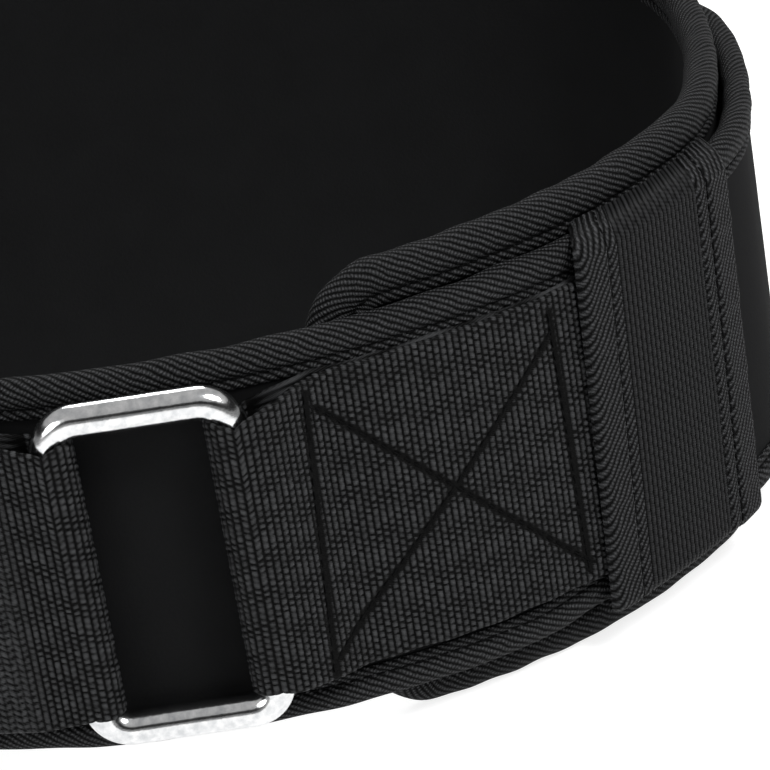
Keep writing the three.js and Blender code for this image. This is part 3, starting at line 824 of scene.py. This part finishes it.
def closure_strap():
    """Sewn on the belt's left end, passed round the ring's left bar and folded back over itself."""
    left_edge = -LEFT_END
    on_binding = left_edge - BELT_TAPE["width"] - 0.8
    run = np.arange(LEFT_BAR - CLOSURE_LENGTH, LEFT_BAR - 0.5, 0.5)
    sewn = mix(SEWN_LIFT, OVER_BINDING_LIFT, ease(on_binding - CLOSURE_RISE, on_binding, run))
    carried = belt_lift(run + WAIST) + sewn
    under = mix(carried, BAR_LIFT - WRAP_RADIUS, ease(left_edge, LEFT_BAR, run))
    stacked = under + LAYER_STEP
    on_end = OVERLAP_LIFT + OVER_BINDING_LIFT + LAYER_STEP
    bowed = mix(on_end, BAR_LIFT + WRAP_RADIUS, ease(left_edge, LEFT_BAR, run))
    over = np.where(run <= left_edge, stacked, np.maximum(stacked, bowed))
    folded = run > LEFT_BAR - CLOSURE_FOLD
    wrap_at, wrap_lift = bar_wrap(LEFT_BAR, 1)
    at = np.concatenate([run, wrap_at, run[folded][::-1]])
    lift = np.concatenate([under, wrap_lift, over[folded][::-1]])
    piece = webbing_strap("closure_strap_webbing", at, lift, LEFT_BAR, len(run) - 8, CLOSURE_ZIGZAG)
    dress(piece, "webbing", "closure_strap")


# Keepers
def keeper_front(z):
    return PAD_START + KEEPER_OFFSET + KEEPER_LEANS[0] * z


def keeper_rear(z):
    return PAD_START + KEEPER_OFFSET + KEEPER_LENGTH + KEEPER_LEANS[1] * z


def channel_side(inner):
    """Half of a keeper's section, from its middle to a foot, as columns of the values of channel()."""
    flat = np.linspace(0, inner - KEEPER_BEND, KEEPER_COLUMNS)
    bend = np.radians(np.linspace(0, 90, 9))[1:]
    wall = np.linspace(0, 1, 6)[1:]
    ones = np.ones_like(wall)
    return np.stack([
        np.concatenate([flat, inner - KEEPER_BEND + KEEPER_BEND * np.sin(bend), inner * ones]),
        np.concatenate([0 * flat, KEEPER_BEND * (1 - np.cos(bend)), KEEPER_BEND * ones]),
        np.concatenate([0 * flat, 0 * bend, wall]),
        np.concatenate([0 * flat, np.sin(bend), ones]),
        np.concatenate([np.ones_like(flat), np.cos(bend), 0 * wall]),
    ])


def channel():
    """Across a keeper from foot to foot: height, sinking, share of the way down, outward direction."""
    upper = channel_side(BELT_HEIGHT / 2 + KEEPER_EDGE_GAP)
    lower = channel_side(BELT_HEIGHT / 2 - KEEPER_SQUEEZE + KEEPER_EDGE_GAP)[:, :0:-1]
    lower = lower * np.array([-1, 1, 1, -1, 1])[:, None]
    return np.concatenate([lower, upper], 1)


def keeper_points(start, end, share, thickness, flip):
    """A keeper's surface at a thickness over its hollow, for shares of the way from one edge to another."""
    z, sunk, down, n_z, n_out = channel()
    share = np.asarray(share, float)[:, None]
    thickness = np.broadcast_to(thickness, (len(share), len(z)))
    thickness = thickness * (1 - KEEPER_SIDE_THINNING * np.abs(n_z))
    middle = mix(start(0), end(0), share)
    spot = PAD_START + PAD_LEFT - middle if flip else middle
    base = pad_lift(spot) + PAD_HALF + LAYER_GAP
    over_straps = SEWN_LIFT + LAYER_STEP + STRAP_THICKNESS / 2
    along = (middle - keeper_front(0)) / KEEPER_LENGTH
    top = belt_lift(spot) + mix(over_straps, BELT_HALF, along) + KEEPER_ROOM
    hollow = top - sunk - down * (top - KEEPER_BEND - base)
    lift = hollow + n_out * thickness
    full_z = z + n_z * thickness
    at = mix(start(full_z), end(full_z), share) + KEEPER_FLARE * (top - hollow) / (top - base)
    at = PAD_START + PAD_LEFT - at if flip else at
    uv = np.stack([np.broadcast_to(middle, full_z.shape), np.broadcast_to(z * 1.05, full_z.shape)], -1)
    return place(at, lift, full_z), uv


def hem_thickness(distance, width):
    """A folded hem: a soft roll at the free edge, a stitched groove and a flat flange."""
    groove = width * HEM_SEAM
    rise = 2.95 * np.sqrt(np.clip(1 - (1 - np.minimum(distance, 2.4) / 2.4) ** 2, 0.02, 1))
    rise = rise - 0.55 * ease(groove - 0.5, groove + 0.5, distance)
    rise = rise - 0.6 * np.exp(-((distance - groove) / 0.7) ** 2)
    return rise - 0.9 * ease(width - 0.8, width, distance)


def hem(name, start, end, width, free_first, flip, node):
    share = np.linspace(0, 1, 34)
    distance = share * width if free_first else (1 - share) * width
    z = channel()[0]
    soft = 0.14 * ripple(z[None, :] + 3 * flip, 120, (7, 12, 19), len(name))
    thickness = hem_thickness(distance, width)[:, None] * (1 + 0.3 * soft * (distance[:, None] < width * 0.65))
    outer, uv = keeper_points(start, end, share, thickness, flip)
    inner, _ = keeper_points(start, end, share, 0.02, flip)
    piece = slab(name, outer, inner, uv[..., ::-1], TWILL)
    dress(piece, "binding", node)
    spot = HEM_SEAM if free_first else 1 - HEM_SEAM
    height = float(hem_thickness(np.array([HEM_SEAM * width]), width)[0]) + 0.1
    line, _ = keeper_points(start, end, [spot], height, flip)
    above, _ = keeper_points(start, end, [spot], height + 1, flip)
    seam = spaced_line(line[0], above[0] - line[0], STITCH_PITCH)
    dress(stitches(f"{name}_stitches", [seam], THREAD), "binding")
    return piece


def keeper(side, flip):
    """A ribbed web between two folded hems; the left one is the right one mirrored."""
    def web_start(z):
        return keeper_front(z) + FRONT_HEM - WEB_TUCK

    def web_end(z):
        return keeper_rear(z) - REAR_HEM + WEB_TUCK

    def front_end(z):
        return keeper_front(z) + FRONT_HEM

    def rear_start(z):
        return keeper_rear(z) - REAR_HEM

    length = web_end(0) - web_start(0)
    ribs = round(length / RIB_PITCH)
    share = np.linspace(0, 1, ribs * 6 + 1)
    z = channel()[0]
    rib = np.abs(np.sin(math.pi * ribs * share))[:, None] ** 0.7
    turn = np.floor(ribs * share - 1e-6)[:, None] % 2
    dash = np.abs(np.cos(math.pi * (z[None, :] / RIB_DASH + 0.5 * turn))) ** 0.6
    relief = rib * (0.45 + 0.55 * dash)
    outer, uv = keeper_points(web_start, web_end, share, 1.45 + RIB_RELIEF * relief, flip)
    inner, _ = keeper_points(web_start, web_end, share, 0.05, flip)
    web = slab(f"{side}_keeper_web", outer, inner, uv, RIBBED, relief)
    dress(web, "keeper_web", f"{side}_keeper")
    front = hem(f"{side}_keeper_front_fold", keeper_front, front_end,
                FRONT_HEM, True, flip, f"{side}_keeper_front_hem")
    rear = hem(f"{side}_keeper_rear_fold", rear_start, keeper_rear,
               REAR_HEM, False, flip, f"{side}_keeper_rear_hem")


# Camera, floor and light
CAMERA_EYE = (-141.73, -856.79, 414.14)
CAMERA_AZIMUTH = 10.81
CAMERA_ELEVATION = 23.86
CAMERA_ROLL = 9.57
CAMERA_LENS = 182.75
SENSOR = 36
FLOOR_REACH = 6
FLOOR_DROP = 0.0004


def camera():
    data = bpy.data.cameras.new("camera")
    data.sensor_width = SENSOR
    data.lens = CAMERA_LENS
    data.clip_end = 50
    eye = bpy.data.objects.new("camera", data)
    turn = Euler((math.radians(90 - CAMERA_ELEVATION), 0, math.radians(-CAMERA_AZIMUTH)), "XYZ").to_matrix()
    roll = Matrix.Rotation(math.radians(-CAMERA_ROLL), 3, "Z")
    eye.matrix_world = Matrix.Translation(FRONT + Vector(CAMERA_EYE) * MM) @ (turn @ roll).to_4x4()
    bpy.context.scene.collection.objects.link(eye)
    bpy.context.scene.camera = eye


def floor():
    mesh = bpy.data.meshes.new("floor")
    corners = [(-1, -1), (1, -1), (1, 1), (-1, 1)]
    points = [(x * FLOOR_REACH, y * FLOOR_REACH, -FLOOR_DROP) for x, y in corners]
    mesh.from_pydata(points, [], [(0, 1, 2, 3)])
    material = bpy.data.materials.new("pale_floor")
    material.use_nodes = True
    shader = material.node_tree.nodes["Principled BSDF"]
    shader.inputs["Base Color"].default_value = (0.45, 0.45, 0.45, 1)
    shader.inputs["Roughness"].default_value = 0.9
    shader.inputs["Emission Color"].default_value = (1, 1, 1, 1)
    shader.inputs["Emission Strength"].default_value = 0.82
    mesh.materials.append(material)
    plane = bpy.data.objects.new("floor", mesh)
    bpy.context.scene.collection.objects.link(plane)


def soft_light(name, spot, aim, size, power):
    data = bpy.data.lights.new(name, "AREA")
    data.shape = "DISK"
    data.size = size
    data.energy = power
    light = bpy.data.objects.new(name, data)
    light.location = spot
    light.rotation_euler = (Vector(aim) - Vector(spot)).to_track_quat("-Z", "Y").to_euler()
    bpy.context.scene.collection.objects.link(light)


# Brightness of the surroundings by height over the horizon: a dark band between pale walls and ceiling
SKY = ((0.0, 0.3), (0.2, 0.25), (0.26, 0.01), (0.5, 0.01), (0.56, 0.45), (1.0, 0.5))


def studio():
    world = bpy.data.worlds.new("studio")
    world.use_nodes = True
    tree = world.node_tree
    coordinates = tree.nodes.new("ShaderNodeTexCoord")
    split = tree.nodes.new("ShaderNodeSeparateXYZ")
    ramp = tree.nodes.new("ShaderNodeValToRGB")
    tree.links.new(coordinates.outputs["Generated"], split.inputs[0])
    tree.links.new(split.outputs[2], ramp.inputs["Fac"])
    tree.links.new(ramp.outputs["Color"], tree.nodes["Background"].inputs["Color"])
    while len(ramp.color_ramp.elements) < len(SKY):
        ramp.color_ramp.elements.new(0.5)
    for element, (height, value) in zip(ramp.color_ramp.elements, SKY):
        element.position = height
        element.color = (value, value, value, 1)
    bpy.context.scene.world = world
    bpy.context.scene.view_settings.view_transform = "Standard"
    soft_light("key", (0.7, -0.9, 1.5), (0, 0, 0.05), 0.7, 30)
    soft_light("fill", (-1.3, -0.9, 0.8), (0, 0, 0.05), 0.9, 8)
    soft_light("rim", (0.2, 1.2, 1.2), (0, 0, 0.08), 0.8, 12)


def bindings():
    for name, shape, lift, tape, seed, node, panel in (
        ("pad_binding_tape", PAD, pad_lift, PAD_TAPE, 31, "pad_binding", "back_pad_cover"),
        ("belt_binding_tape", BELT, belt_lift, BELT_TAPE, 41, "belt_binding", "belt_panel_cover"),
    ):
        tape_piece, thread, flat = bound_edge(name, shape, lift, tape, seed)
        dress(tape_piece, "binding", node)
        dress(thread, "binding")


camera()
floor()
studio()
back_pad()
pad_lining()
belt_panel()
bindings()
steel_ring()
ring_strap()
closure_strap()
keeper("right", False)
keeper("left", True)
